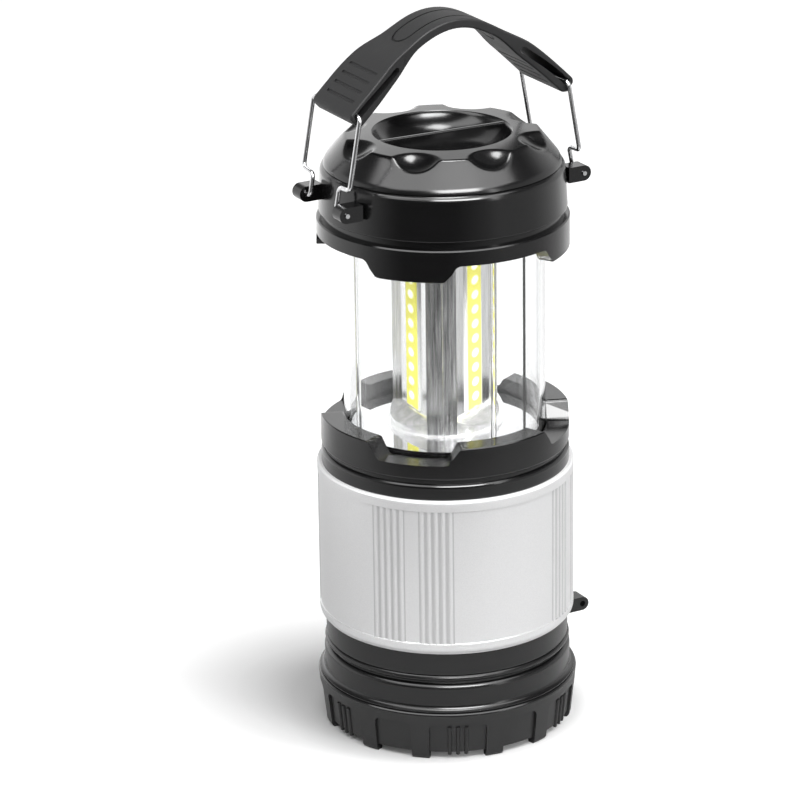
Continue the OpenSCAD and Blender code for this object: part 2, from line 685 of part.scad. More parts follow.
// Side outline of the strap, grown by a margin
function strap_outline(grow = 0) =
    let (n = strap_normal(strap_end_x), t = [n.y, -n.x], c = strap_mid(strap_end_x) - end_round * t,
        h = paddle_half_t - end_round, angle = atan2(n.y, n.x))
    both_halves(concat(
        [for (x = strap_xs)
            if (x < strap_end_x - end_round) strap_mid(x) + (strap_half_t(x) + grow) * strap_normal(x)],
        arc(c + h * n, end_round + grow, angle, angle - 90),
        arc(c - h * n, end_round + grow, angle - 90, angle - 180),
        [for (k = [len(strap_xs) - 1 : -1 : 0]) let (x = strap_xs[k])
            if (x < strap_end_x - end_round) strap_mid(x) - (strap_half_t(x) + grow) * strap_normal(x)]));

// Path of a crossbar in the strap, from the handle's upper to its lower position
function slot_point(t) =
    let (lean = lean_up + (lean_down - lean_up) * t)
    [pin_x - bail_l * sin(lean), pin_z + bail_l * cos(lean) + strap_drop * t];

module strap_slot() {
    steps = 8;
    low = [for (k = [0 : steps]) slot_point(k / steps)];
    run_on = low[steps] - low[steps - 1];
    path = concat(low, [low[steps] + slot_run_on * run_on / norm(run_on)]);
    last = len(path) - 1;
    across = [for (k = [0 : last])
        let (d = path[min(k + 1, last)] - path[max(k - 1, 0)]) [-d.y, d.x] / norm(d)];
    polygon(concat([for (k = [0 : last]) path[k] + slot_r * across[k]],
        [for (k = [last : -1 : 0]) path[k] - slot_r * across[k]]));
    for (p = [path[0], path[last]]) translate(p) circle(r = slot_r, $fn = 24);
}

// Outline of the strap from above: narrow in the middle, wide at the paddles. It runs past the
// ends, which the side outline rounds.
function strap_plan() =
    let (edge = [for (x = strap_xs) [1.1 * x, waist_half + (paddle_half - waist_half) * blend(x, 11, 30)]])
    both_halves(concat(edge, [for (k = [len(edge) - 1 : -1 : 0]) [edge[k].x, -edge[k].y]]));

module stadium(half_l, half_w) {
    square([2 * (half_l - half_w), 2 * half_w], center = true);
    for (s = [-1, 1]) translate([s * (half_l - half_w), 0]) circle(r = half_w, $fn = 48);
}

module side_extrude(width) rotate([90, 0, 0]) linear_extrude(height = width, center = true) children();

module grip_strap() color(dark_grey) translate([0, strap_rest_y, 0]) difference() {
    intersection() {
        side_extrude(2 * paddle_half + 1) difference() {
            polygon(strap_outline());
            strap_slot();
            mirror([1, 0]) strap_slot();
        }
        linear_extrude(height = 300) polygon(strap_plan());
    }
    // Stadium-shaped line pressed into the top and the underside of the grip
    difference() {
        intersection() {
            linear_extrude(height = 300) difference() {
                stadium(line_half_l, line_half_w);
                stadium(line_half_l - 0.8, line_half_w - 0.8);
            }
            side_extrude(30) polygon(strap_outline(1));
        }
        side_extrude(32) polygon(strap_outline(-0.45));
    }
    // Cross grooves on both faces of the paddles
    for (s = [-1, 1], k = [0 : 3], face = [-1, 1]) {
        x = 27.4 + 2.75 * k;
        p = strap_mid(x) + face * (strap_half_t(x) + 0.15) * strap_normal(x);
        translate([s * p.x, 0, p.y]) rotate([90, 0, 0])
            cylinder(r = 0.55, h = 17.4, center = true, $fn = 24);
    }
}

base_housing();
sleeve();
collar_ring();
contact_strips();
battery_tray();
tray_screws();
battery_cell_1();
battery_cell_2();
battery_cell_3();
contact_springs();
contact_plates();
cover_seal();
base_cover();
carriage();
slide_ring();
contact_wipers();
reflector_plate();
globe();
column_foot();
led_column();
led_board_1();
led_board_2();
led_board_3();
led_strip_1();
led_strip_2();
led_strip_3();
upper_reflector();
cap_skirt();
driver_board();
board_screws();
cap_collar();
cap_dome();
cap_screws();
left_bail();
right_bail();
grip_strap();
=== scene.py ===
# %% [markdown]
# # A pull-up camping lantern
#
# A black plastic lantern with a clear lamp chamber, a silver sleeve and a rubber carrying strap.
# The solids come from a CAD model that is loaded as a fixed frame. This script gives each of them
# a finish, models the few pieces that are softer or finer than the solids, and lights the scene.

# %% Load the frame
import math

import bpy
from mathutils import Matrix, Vector


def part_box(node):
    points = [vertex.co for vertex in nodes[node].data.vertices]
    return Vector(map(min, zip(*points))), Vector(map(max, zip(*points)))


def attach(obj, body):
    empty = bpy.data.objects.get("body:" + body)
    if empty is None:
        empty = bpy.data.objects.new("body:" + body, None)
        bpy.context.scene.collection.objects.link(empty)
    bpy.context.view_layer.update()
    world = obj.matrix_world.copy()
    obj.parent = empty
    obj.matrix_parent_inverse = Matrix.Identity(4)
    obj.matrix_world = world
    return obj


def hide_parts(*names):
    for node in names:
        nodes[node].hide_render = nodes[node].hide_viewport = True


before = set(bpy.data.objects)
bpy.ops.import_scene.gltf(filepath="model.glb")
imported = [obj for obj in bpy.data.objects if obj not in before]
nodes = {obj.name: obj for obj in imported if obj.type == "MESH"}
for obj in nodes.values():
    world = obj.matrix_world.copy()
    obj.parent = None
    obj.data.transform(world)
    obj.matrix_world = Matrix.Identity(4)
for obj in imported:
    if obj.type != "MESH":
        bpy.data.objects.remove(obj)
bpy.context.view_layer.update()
scene = bpy.context.scene

# %% [markdown]
# ## The camera
#
# The lantern is seen from a little above, with a long lens, so that the round parts show as slim
# ellipses. A camera can be aimed at a target by a constraint. Here its place and its three turns
# are written down instead, because then its roll is exact too: a heading about the vertical, a
# tilt and a roll.

# %% Camera
MM = 0.001
CAMERA_X, CAMERA_Y, CAMERA_Z = -631.2, -1115.6, 586.2
STRAP_TURN = 29.5                 # degrees between the strap and the picture plane
HEADING, TILT_DOWN, ROLL = 0.658, 20.34, -0.811
LENS, SENSOR = 186.6, 36          # focal length and sensor width
camera_data = bpy.data.cameras.new("Camera")
camera_data.sensor_width = SENSOR
camera_data.lens = LENS
camera = bpy.data.objects.new("Camera", camera_data)
scene.collection.objects.link(camera)
camera.matrix_world = (
    Matrix.Translation((CAMERA_X * MM, CAMERA_Y * MM, CAMERA_Z * MM))
    @ Matrix.Rotation(math.radians(HEADING) - math.radians(STRAP_TURN), 4, "Z")
    @ Matrix.Rotation(math.radians(90 - TILT_DOWN), 4, "X")
    @ Matrix.Rotation(math.radians(ROLL), 4, "Z"))
scene.camera = camera
scene.view_settings.view_transform = "Standard"
to_camera = Vector((camera.location.x, camera.location.y, 0)).normalized()
print("camera looks from", tuple(round(v, 3) for v in camera.location))

# %% [markdown]
# ## Helpers for materials
#
# Every material is a small tree of nodes. A tree can be wired by hand in the Shader Editor, or
# written out node by node. Most of it is the same each time, so short helpers add a node, a
# material or a group by name, and the recipes below stay readable.

# %% A node, a material and a group
def add_node(tree, kind, **values):
    """A node of this kind, with its inputs and settings given by name."""
    node = tree.nodes.new("ShaderNode" + kind)
    for name, value in values.items():
        socket = node.inputs.get(name.replace("_", " "))
        if socket is None:
            setattr(node, name, value)
        else:
            socket.default_value = value
    return node


def new_material(name, **values):
    """A material with a Principled shader whose sockets have these plain values."""
    made = bpy.data.materials.new(name)
    made.use_nodes = True
    shader = made.node_tree.nodes["Principled BSDF"]
    for socket, value in values.items():
        shader.inputs[socket.replace("_", " ")].default_value = value
    return made, made.node_tree, shader


def new_group(name, inputs, outputs):
    """A shader node group with float inputs, given with their first values, and named outputs."""
    group = bpy.data.node_groups.new(name, "ShaderNodeTree")
    for label, value in inputs.items():
        socket = group.interface.new_socket(label, in_out="INPUT", socket_type="NodeSocketFloat")
        socket.default_value = value
    for label in outputs:
        group.interface.new_socket(label, in_out="OUTPUT", socket_type="NodeSocketFloat")
    return group, group.nodes.new("NodeGroupInput"), group.nodes.new("NodeGroupOutput")


def use_group(tree, group, **values):
    """The group as a node in this tree, with its own values."""
    node = tree.nodes.new("ShaderNodeGroup")
    node.node_tree = group
    for label, value in values.items():
        node.inputs[label.replace("_", " ")].default_value = value
    return node


# %% [markdown]
# A pattern is arithmetic on places and noise. Each of these helpers adds one node, feeds it with
# sockets or plain numbers, and hands back its output, so that a formula reads from left to right.

# %% Numbers and colours
def maths(tree, operation, a, b=None, c=None):
    """A Math node fed by sockets or numbers. Returns its output."""
    node = tree.nodes.new("ShaderNodeMath")
    node.operation = operation
    for k, value in enumerate((a, b, c)):
        if isinstance(value, bpy.types.NodeSocket):
            tree.links.new(value, node.inputs[k])
        elif value is not None:
            node.inputs[k].default_value = value
    return node.outputs[0]


def between(tree, factor, first, second):
    """The first number where the factor is 0, the second where it is 1."""
    return maths(tree, "MULTIPLY_ADD", factor, maths(tree, "SUBTRACT", second, first), first)


def remap(tree, value, low, high, to_low, to_high):
    """Takes low..high to to_low..to_high, held at both ends."""
    node = add_node(tree, "MapRange", From_Min=low, From_Max=high, To_Min=to_low, To_Max=to_high)
    tree.links.new(value, node.inputs["Value"])
    return node.outputs["Result"]


def mix_colours(tree, factor, first, second):
    """A colour between two, by a factor from 0 to 1."""
    node = add_node(tree, "Mix", data_type="RGBA")
    tree.links.new(factor, node.inputs[0])
    for socket, colour in ((node.inputs[6], first), (node.inputs[7], second)):
        if isinstance(colour, bpy.types.NodeSocket):
            tree.links.new(colour, socket)
        else:
            socket.default_value = (*colour, 1)
    return node.outputs[2]


# %% [markdown]
# A pattern has to know where on its piece it is. World coordinates would let it slide when the
# head moves, and the camera's would let it swim in every view. Object coordinates stay with the
# piece.

# %% Places and directions
def object_place(tree):
    """A point's own place on its piece, in metres."""
    return add_node(tree, "TexCoord").outputs["Object"]


def axes(tree, vector):
    """The X, Y and Z of a vector."""
    node = add_node(tree, "SeparateXYZ")
    tree.links.new(vector, node.inputs[0])
    return node.outputs["X"], node.outputs["Y"], node.outputs["Z"]


def along(tree, vector, direction):
    """How far a vector reaches along a fixed direction: their dot product."""
    node = add_node(tree, "VectorMath", operation="DOT_PRODUCT")
    tree.links.new(vector, node.inputs[0])
    node.inputs[1].default_value = direction
    return node.outputs["Value"]


# %% [markdown]
# Relief that is too fine to model comes from a Bump node, which tips the light and leaves the
# mesh as it is. Where two shaders share one surface, a Mix Shader takes one or the other.

# %% Relief, and a choice of two shaders
def add_relief(tree, shader, height, strength, depth):
    """Lets a height from 0 to 1 tip the surface, as if it stood this many metres deep."""
    bump = add_node(tree, "Bump", Strength=strength, Distance=depth)
    tree.links.new(height, bump.inputs["Height"])
    tree.links.new(bump.outputs[0], shader.inputs["Normal"])


def choose_shader(tree, factor, first, second):
    """The material shows the first shader where the factor is 0, the second where it is 1."""
    choice = add_node(tree, "MixShader")
    for source, socket in zip((factor, first, second), choice.inputs):
        tree.links.new(source, socket)
    tree.links.new(choice.outputs[0], tree.nodes["Material Output"].inputs["Surface"])


# %% [markdown]
# ## Mould texture
#
# Moulded plastic is never a perfect mirror: the steel mould leaves a fine, shallow texture on it.
# Real bumps would need millions of faces, so noise feeds a Bump node instead. Most finishes want
# it, each at its own size, so it is a node group: one tuning with named inputs.

# %% Mould texture
MIDDLE = 0.5                      # the mean of a noise texture
mould_texture, inside, out = new_group(
    "Mould texture", {"Size": 0.4 * MM, "Softness": 0.5}, ["Height"])
grain = add_node(mould_texture, "TexNoise", Detail=3.0, Roughness=0.6)
mould_texture.links.new(object_place(mould_texture), grain.inputs["Vector"])
per_metre = maths(mould_texture, "DIVIDE", 1.0, inside.outputs["Size"])
mould_texture.links.new(per_metre, grain.inputs["Scale"])
contrast = maths(mould_texture, "SUBTRACT", 1.0, inside.outputs["Softness"])
swing = maths(mould_texture, "SUBTRACT", grain.outputs[0], MIDDLE)
swing = maths(mould_texture, "MULTIPLY", swing, contrast)
mould_texture.links.new(maths(mould_texture, "ADD", swing, MIDDLE), out.inputs["Height"])
print("mould texture:", len(mould_texture.nodes), "nodes")

# %% [markdown]
# ## Smudges
#
# Hands leave patches that are a little more or less glossy. They could be painted on a texture,
# but soft noise does it on every side at once. The group puts out a roughness between two limits.

# %% Smudges
PATCH_LOW, PATCH_HIGH = 0.3, 0.7  # nearly all of the noise lies between these
smudges, inside, out = new_group(
    "Smudges", {"Size": 20 * MM, "Low": 0.25, "High": 0.32}, ["Roughness"])
patches = add_node(smudges, "TexNoise", Detail=4.0, Roughness=0.55, Distortion=0.6)
smudges.links.new(object_place(smudges), patches.inputs["Vector"])
per_metre = maths(smudges, "DIVIDE", 1.0, inside.outputs["Size"])
smudges.links.new(per_metre, patches.inputs["Scale"])
level = remap(smudges, patches.outputs[0], PATCH_LOW, PATCH_HIGH, 0, 1)
roughness = between(smudges, level, inside.outputs["Low"], inside.outputs["High"])
smudges.links.new(roughness, out.inputs["Roughness"])
print("smudges:", len(smudges.nodes), "nodes")

# %% [markdown]
# ## Fine dust
#
# Dark plastic always carries a few pale specks. Scattered grains of mesh would be heavy, so the
# middles of the cells of a Voronoi texture stand for the specks, and slow noise gathers them in
# clouds, because evenly spread dust looks like a pattern.

# %% Fine dust
SPECK_SCALE, CLOUD_SCALE = 900.0, 70.0
SPECK_FULL, SPECK_GONE = 0.02, 0.14   # distance from a cell's middle
CLOUD_NONE, CLOUD_FULL = 0.55, 0.75   # level of the slow noise
dust, inside, out = new_group("Fine dust", {"Amount": 0.3}, ["Mask"])
specks = add_node(dust, "TexVoronoi", Scale=SPECK_SCALE)
clouds = add_node(dust, "TexNoise", Scale=CLOUD_SCALE, Detail=2.0)
for texture in (specks, clouds):
    dust.links.new(object_place(dust), texture.inputs["Vector"])
speck = remap(dust, specks.outputs["Distance"], SPECK_FULL, SPECK_GONE, 1, 0)
cloud = remap(dust, clouds.outputs[0], CLOUD_NONE, CLOUD_FULL, 0, 1)
both = maths(dust, "MULTIPLY", speck, cloud)
dust.links.new(maths(dust, "MULTIPLY", both, inside.outputs["Amount"]), out.inputs["Mask"])
print("groups:", [group.name for group in bpy.data.node_groups])

# %% [markdown]
# ## Black and grey plastics
#
# The cap and the notched collar are polished black; the body under the sleeve is a little less
# glossy, and the grip ring is charcoal. Each could have its own tree. One recipe makes them all,
# because they differ only in numbers: a dark base, a roughness that drifts a little, a fine
# relief and a trace of dust.

# %% The plastic recipe
MOULD_DEPTH = 0.2 * MM
DUST_GAIN, DUST_LIFT = 1.6, 0.05      # a dusty speck is the plastic's colour, lighter


def plastic(name, colour, low, high, grain=0.35 * MM, bump=0.02, dusty=0.25, **values):
    """Moulded plastic: its roughness drifts from low to high, and its grain stands bump high."""
    made, tree, shader = new_material(name, **values)
    smudge = use_group(tree, smudges, Low=low, High=high)
    tree.links.new(smudge.outputs["Roughness"], shader.inputs["Roughness"])
    texture = use_group(tree, mould_texture, Size=grain)
    add_relief(tree, shader, texture.outputs["Height"], bump, MOULD_DEPTH)
    speck = use_group(tree, dust, Amount=dusty)
    lighter = tuple(min(1.0, c * DUST_GAIN + DUST_LIFT) for c in colour)
    tree.links.new(mix_colours(tree, speck.outputs["Mask"], colour, lighter),
                   shader.inputs["Base Color"])
    return made


BLACK = (0.004, 0.004, 0.0042)
polished_black = plastic("Polished black", BLACK, 0.14, 0.2, bump=0.01)
satin_black = plastic("Satin black", BLACK, 0.17, 0.22, bump=0.02)
body_black = plastic("Body black", BLACK, 0.2, 0.26, bump=0.01)
charcoal = plastic("Charcoal", (0.008, 0.008, 0.0082), 0.3, 0.38, bump=0.03)
grip_charcoal = plastic("Textured charcoal", (0.012, 0.012, 0.0122), 0.36, 0.44,
                        grain=0.6 * MM, bump=0.1)
print("plastics:", polished_black.name, satin_black.name, body_black.name, charcoal.name)

# %% [markdown]
# The grip ring is textured on its side, but its top edge is polished. It could be split into two
# pieces with two finishes. The finish follows the height instead, so the ring stays one moulding:
# above the edge its roughness is multiplied down.

# %% A polished edge on the grip
EDGE_LOW, EDGE_HIGH, EDGE_POLISH = 15.6 * MM, 16.4 * MM, 0.4
tree = grip_charcoal.node_tree
shader = tree.nodes["Principled BSDF"]
satin = shader.inputs["Roughness"].links[0].from_socket
above_floor = axes(tree, object_place(tree))[2]
polish = remap(tree, above_floor, EDGE_LOW, EDGE_HIGH, 1.0, EDGE_POLISH)
tree.links.new(maths(tree, "MULTIPLY", satin, polish), shader.inputs["Roughness"])
print("grip polished above", round(EDGE_HIGH / MM, 1), "mm")

# %% [markdown]
# ## The silver sleeve
#
# The sleeve is pale plastic with a satin silver paint. As pure metal it would go dark wherever it
# mirrors nothing, and as pure plastic it would look like white. So the paint is half metal: it
# takes soft reflections and still has a light tone. The cells of a tiny Voronoi texture are its
# flakes.

# %% Paint flakes
FLAKE_SCALE = 5200.0
DARK_FLAKE, LIGHT_FLAKE = (0.72, 0.72, 0.725), (0.79, 0.79, 0.795)
sleeve_paint, tree, shader = new_material("Silver paint", Metallic=0.5, IOR=1.5)
sleeve_place = object_place(tree)
flakes = add_node(tree, "TexVoronoi", Scale=FLAKE_SCALE)
tree.links.new(sleeve_place, flakes.inputs["Vector"])
paint = mix_colours(tree, flakes.outputs["Color"], DARK_FLAKE, LIGHT_FLAKE)
print("flakes:", round(1 / FLAKE_SCALE / MM, 2), "mm")

# %% [markdown]
# Five upright beads stand close together on each side of every diagonal, and the valleys between
# them look darker than the open paint, because they lie in shade. The CAD solid has the beads, but
# even light leaves their valleys nearly as bright as their crests, so that shade is painted: each
# valley could be painted by hand; a mask finds them all and turns the paint towards a grey there.
# A Ping-Pong node folds the turn about the axis to the angle from the nearest diagonal, which is
# then counted in beads. A second Ping-Pong gives the distance from the nearest bead.

# %% Painted shade in the valleys between the beads
DIAGONAL = 45                     # degrees, and half the step between diagonals
FIRST_BEAD, BEAD_PITCH, BEADS = 4.75, 3.15, 5      # degrees from a diagonal, and a count
BEAD_LOW, BEAD_HIGH = 41.4 * MM, 87.9 * MM
HALF = 0.5                        # half a bead's pitch
VALLEY_FROM, VALLEY_FULL, VALLEY_SHADE = 0.12, 0.4, 0.45
PAINTED_VALLEY_SHADE = (0.3, 0.3, 0.305)
x, y, z = axes(tree, sleeve_place)
azimuth = maths(tree, "DEGREES", maths(tree, "ARCTAN2", y, x))
from_diagonal = maths(tree, "PINGPONG", maths(tree, "ADD", azimuth, DIAGONAL), DIAGONAL)
bead = maths(tree, "DIVIDE", maths(tree, "SUBTRACT", from_diagonal, FIRST_BEAD), BEAD_PITCH)
painted_shade = remap(tree, maths(tree, "PINGPONG", bead, HALF), VALLEY_FROM, VALLEY_FULL,
               0.0, VALLEY_SHADE)
for value, test, limit in ((bead, "GREATER_THAN", -HALF), (bead, "LESS_THAN", BEADS - HALF),
                           (z, "GREATER_THAN", BEAD_LOW), (z, "LESS_THAN", BEAD_HIGH)):
    painted_shade = maths(tree, "MULTIPLY", painted_shade, maths(tree, test, value, limit))
# Painted shade: the paint turns towards a grey in every valley between the beads.
tree.links.new(mix_colours(tree, painted_shade, paint, PAINTED_VALLEY_SHADE), shader.inputs["Base Color"])
print("beads end", round(FIRST_BEAD + BEAD_PITCH * (BEADS - HALF), 1), "degrees from a diagonal")

# %% [markdown]
# The sleeve's upper lip is rubbed whenever the lantern is pulled open, so it has lost its shine.
# Paint could be worn through there to bare plastic, but on a lantern that is nearly new it is
# only more matt: a step in height adds to the roughness that the smudges give.

# %% Smudged paint and its worn lip
LIP_LOW, LIP_HIGH, LIP_WEAR = 90.2 * MM, 90.7 * MM, 0.4
smudge = use_group(tree, smudges, Size=30 * MM, Low=0.28, High=0.33)
worn = remap(tree, z, LIP_LOW, LIP_HIGH, 0.0, LIP_WEAR)
tree.links.new(maths(tree, "ADD", smudge.outputs["Roughness"], worn), shader.inputs["Roughness"])
texture = use_group(tree, mould_texture, Size=0.3 * MM)
add_relief(tree, shader, texture.outputs["Height"], 0.015, MOULD_DEPTH)
print("sleeve paint:", len(tree.nodes), "nodes")

# %% [markdown]
# ## Metals
#
# The bails are bright drawn wire, the lamp column is chrome-plated plastic, and the contacts are
# brass. Drawn and rolled metal has very fine lines; plating is smooth with soft waves. An
# anisotropic shader could draw such lines, but it needs a tangent on every mesh. Noise that a
# Mapping node stretches along one axis gives them on any shape.

# %% The metal recipe
METAL_DEPTH = 0.1 * MM
LINE_LOW, LINE_HIGH = 0.3, 0.7    # nearly all of the noise lies between these
DULL_LINE = 0.86                  # a dull line's colour, as a share of the bright metal's


def metal(name, colour, low, high, stretch=(1, 1, 1), size=0.8 * MM, bump=0.02, metallic=1.0):
    """Metal whose grain is drawn out along an axis by a stretch below 1."""
    made, tree, shader = new_material(name, Metallic=metallic)
    stretched = add_node(tree, "Mapping", Scale=stretch)
    tree.links.new(object_place(tree), stretched.inputs["Vector"])
    lines = add_node(tree, "TexNoise", Scale=1 / size, Detail=2.0, Roughness=0.5)
    tree.links.new(stretched.outputs[0], lines.inputs["Vector"])
    roughness = remap(tree, lines.outputs[0], LINE_LOW, LINE_HIGH, low, high)
    tree.links.new(roughness, shader.inputs["Roughness"])
    dull = tuple(c * DULL_LINE for c in colour)
    bright = remap(tree, lines.outputs[0], LINE_LOW, LINE_HIGH, 0, 1)
    tree.links.new(mix_colours(tree, bright, dull, colour), shader.inputs["Base Color"])
    add_relief(tree, shader, lines.outputs[0], bump, METAL_DEPTH)
    return made


# %% [markdown]
# Wire and rolled strip have long lines, so their noise is stretched along Z. The moulded and
# plated parts keep round, slow waves, and the reflector under the lamps is nearly a mirror. The
# foot is a little less metallic, so that it also takes up some light as a matt surface does.

# %% Steel, brass and plating
PLATING = (0.88, 0.88, 0.88)
wire_steel = metal("Drawn steel wire", (0.72, 0.72, 0.73), 0.16, 0.26,
                   stretch=(1, 1, 0.12), size=0.5 * MM)
screw_steel = metal("Screw steel", (0.6, 0.6, 0.61), 0.2, 0.27)
spring_steel = metal("Spring steel", (0.5, 0.5, 0.52), 0.28, 0.4)
brass = metal("Brass", (0.75, 0.55, 0.24), 0.2, 0.27, stretch=(1, 1, 0.2))
chrome = metal("Chrome plating", (0.84, 0.84, 0.84), 0.12, 0.2, size=6 * MM, bump=0.03)
brushed = metal("Brushed plating", PLATING, 0.14, 0.26,
                stretch=(1, 1, 0.04), size=0.6 * MM, bump=0.05)
foot_plating = metal("Foot plating", PLATING, 0.15, 0.25, size=3 * MM, bump=0.03, metallic=0.75)
mirror = metal("Mirror plating", (0.86, 0.86, 0.87), 0.03, 0.06, size=10 * MM, bump=0.01)
print("metals:", wire_steel.name, screw_steel.name, spring_steel.name, brass.name)

# %% [markdown]
# ## The clear tube
#
# Clear acrylic bends light, and its thick wall draws darker lines at both sides. A thin
# transparent shell would be quicker to render, but would lose those lines, so the tube has a real
# wall and a glass shader. A Layer Weight node tints it where it is seen edge-on, because light
# then passes through more of it. Glass would keep the lamps' light out of the chamber, so a
# Light Path node lets shadow rays straight through.

# %% Clear acrylic
CLEAR, EDGE_TINT = (0.985, 0.99, 0.99), (0.62, 0.63, 0.64)
TINT_FROM, TINT_FULL = 0.3, 0.75      # 0 is seen square on, 1 is seen edge-on
clear_acrylic, tree, shader = new_material("Clear acrylic", Transmission_Weight=1.0, IOR=1.49,
                                           Metallic=0.0)
facing = add_node(tree, "LayerWeight", Blend=0.3).outputs["Facing"]
tint = mix_colours(tree, remap(tree, facing, TINT_FROM, TINT_FULL, 0, 1), CLEAR, EDGE_TINT)
tree.links.new(tint, shader.inputs["Base Color"])
smudge = use_group(tree, smudges, Size=15 * MM, Low=0.0, High=0.03)
tree.links.new(smudge.outputs["Roughness"], shader.inputs["Roughness"])
shadow_ray = add_node(tree, "LightPath").outputs["Is Shadow Ray"]
passing = add_node(tree, "BsdfTransparent")
choose_shader(tree, shadow_ray, shader.outputs[0], passing.outputs[0])
print("acrylic:", len(tree.nodes), "nodes")

# %% [markdown]
# ## The glowing strips
#
# Each lamp strip is a row of small lamps under a yellow phosphor gel. Lit, each lamp is a white
# spot and the gel round it glows yellow. The spots could be small discs of mesh, but under gel
# they have no edge, so they are a soft mask. Height, taken back and forth by a Ping-Pong node,
# gives the distance from the nearest spot, and the three strips share the mask as a group.

# %% Lamp spots
SPOT_PITCH, SPOT_WIDE, SPOT_HIGH = 5.0 * MM, 2.2 * MM, 1.6 * MM
SPOT_GONE = 1.2                   # squared distance, in spots, where a spot has faded
lamp_spots, inside, out = new_group(
    "Lamp spots", {"Pitch": SPOT_PITCH, "Wide": SPOT_WIDE, "High": SPOT_HIGH}, ["Mask"])
lamp_spots.interface.new_socket("Place", in_out="INPUT", socket_type="NodeSocketVector")
x, y, z = axes(lamp_spots, inside.outputs["Place"])
half_pitch = maths(lamp_spots, "MULTIPLY", inside.outputs["Pitch"], 0.5)
upwards = maths(lamp_spots, "PINGPONG", z, half_pitch)
upwards = maths(lamp_spots, "DIVIDE", upwards, inside.outputs["High"])
across = maths(lamp_spots, "DIVIDE", y, inside.outputs["Wide"])
across = maths(lamp_spots, "MULTIPLY", across, across)
squares = maths(lamp_spots, "MULTIPLY_ADD", upwards, upwards, across)
lamp_spots.links.new(remap(lamp_spots, squares, 0.0, SPOT_GONE, 1, 0), out.inputs["Mask"])
print("lamp spots:", len(lamp_spots.nodes), "nodes")

# %% [markdown]
# The three strips face three ways. A Mapping node turns each one's pattern to stand the same way:
# X out of the strip, Y across it, Z up it. Lamps under the gel would be slow to render, so the
# glow is the shader's own emission, at strength 1, where a colour shows about as it is written.

# %% Phosphor gel
COLUMN_TURN = -2.7                # degrees from the strap's line to the column's first ridge
FLAT_TURNS = [COLUMN_TURN + 60 + 120 * k for k in range(3)]
GEL, SPOT = (0.75, 0.71, 0.14), (0.95, 0.95, 0.85)
GEL_GLOW, SPOT_GLOW = (0.3, 0.3, 0.05), (0.95, 0.95, 0.8)


def phosphor(name, turn):
    """Glowing gel on the flat that faces this way, in degrees."""
    made, tree, shader = new_material(name, Roughness=0.45, Emission_Strength=1.0)
    turned_place = add_node(tree, "Mapping", Rotation=(0, 0, -math.radians(turn)))
    tree.links.new(object_place(tree), turned_place.inputs["Vector"])
    spots = use_group(tree, lamp_spots)
    tree.links.new(turned_place.outputs[0], spots.inputs["Place"])
    mask = spots.outputs["Mask"]
    tree.links.new(mix_colours(tree, mask, GEL, SPOT), shader.inputs["Base Color"])
    tree.links.new(mix_colours(tree, mask, GEL_GLOW, SPOT_GLOW), shader.inputs["Emission Color"])
    return made


phosphors = [phosphor(f"Phosphor gel {k + 1}", turn) for k, turn in enumerate(FLAT_TURNS)]
print("phosphors:", [made.name for made in phosphors])

# %% [markdown]
# ## Rubber, boards, cells and seals
#
# Soft rubber is matt and grained, lacquered boards and shrink-wrapped cells shine a little. All are
# smooth coloured surfaces with dust on them, so the plastic recipe makes them with other numbers.
# Rubber mirrors less than plastic at every angle, which the strap's specular level says.

# %% The rest of the finishes
strap_rubber = plastic("Strap rubber", (0.0095, 0.0095, 0.01), 0.52, 0.62,
                       grain=0.4 * MM, bump=0.35, dusty=0.5, Specular_IOR_Level=0.35)
seal_rubber = plastic("Seal rubber", (0.015, 0.015, 0.015), 0.55, 0.65, bump=0.1)
board_white = plastic("White board", (0.78, 0.78, 0.76), 0.35, 0.5, bump=0.05)
board_green = plastic("Green board", (0.02, 0.14, 0.06), 0.3, 0.45, bump=0.05)
cell_wrap = plastic("Cell wrapper", (0.05, 0.12, 0.16), 0.28, 0.35, bump=0.02)
print("materials:", [made.name for made in bpy.data.materials])

# %% [markdown]
# ## Every solid gets its finish
#
# Each CAD solid arrives with a plain material in its first slot. Slots can be filled one by one,
# but a table from finish to solids shows at a glance what is made of what. The solids keep their
# meshes: only what is in the slot changes.

# %% Give every CAD node its finish
FINISH = {
    polished_black: ["cap_collar", "collar_ring", "cap_skirt"],
    satin_black: ["cap_dome", "carriage"],
    body_black: ["base_housing"],
    charcoal: ["battery_tray"],
    grip_charcoal: ["base_cover"],
    sleeve_paint: ["sleeve"],
    wire_steel: ["left_bail", "right_bail"],
    screw_steel: ["tray_screws", "board_screws", "cap_screws"],
    spring_steel: ["contact_springs", "contact_plates"],
    brass: ["contact_strips", "contact_wipers"],
    chrome: ["upper_reflector"],
    foot_plating: ["column_foot"],
    brushed: ["led_column"],
    mirror: ["reflector_plate"],
    clear_acrylic: ["globe"],
    phosphors[0]: ["led_strip_1"],
    phosphors[1]: ["led_strip_2"],
    phosphors[2]: ["led_strip_3"],
    strap_rubber: ["grip_strap"],
    seal_rubber: ["cover_seal", "slide_ring"],
    board_white: ["led_board_1", "led_board_2", "led_board_3"],
    board_green: ["driver_board"],
    cell_wrap: ["battery_cell_1", "battery_cell_2", "battery_cell_3"],
}
for finish, names in FINISH.items():
    for name in names:
        slots = nodes[name].data.materials
        slots.clear()
        slots.append(finish)
print("finished nodes:", sum(len(names) for names in FINISH.values()))

# %% [markdown]
# ## Modelling helpers
#
# An operator acts on all that is selected, so each step picks its own object first. A modifier is
# added, set and applied in one go, so that the finished mesh holds its result.

# %% Picking, modifiers and shading
def pick(piece):
    """Selects this object alone and makes it the active one."""
    bpy.ops.object.select_all(action="DESELECT")
    piece.select_set(True)
    bpy.context.view_layer.objects.active = piece


def active_mesh(name):
    """Names the object that an operator has just added."""
    made = bpy.context.active_object
    made.name = name
    made.data.name = name
    return made


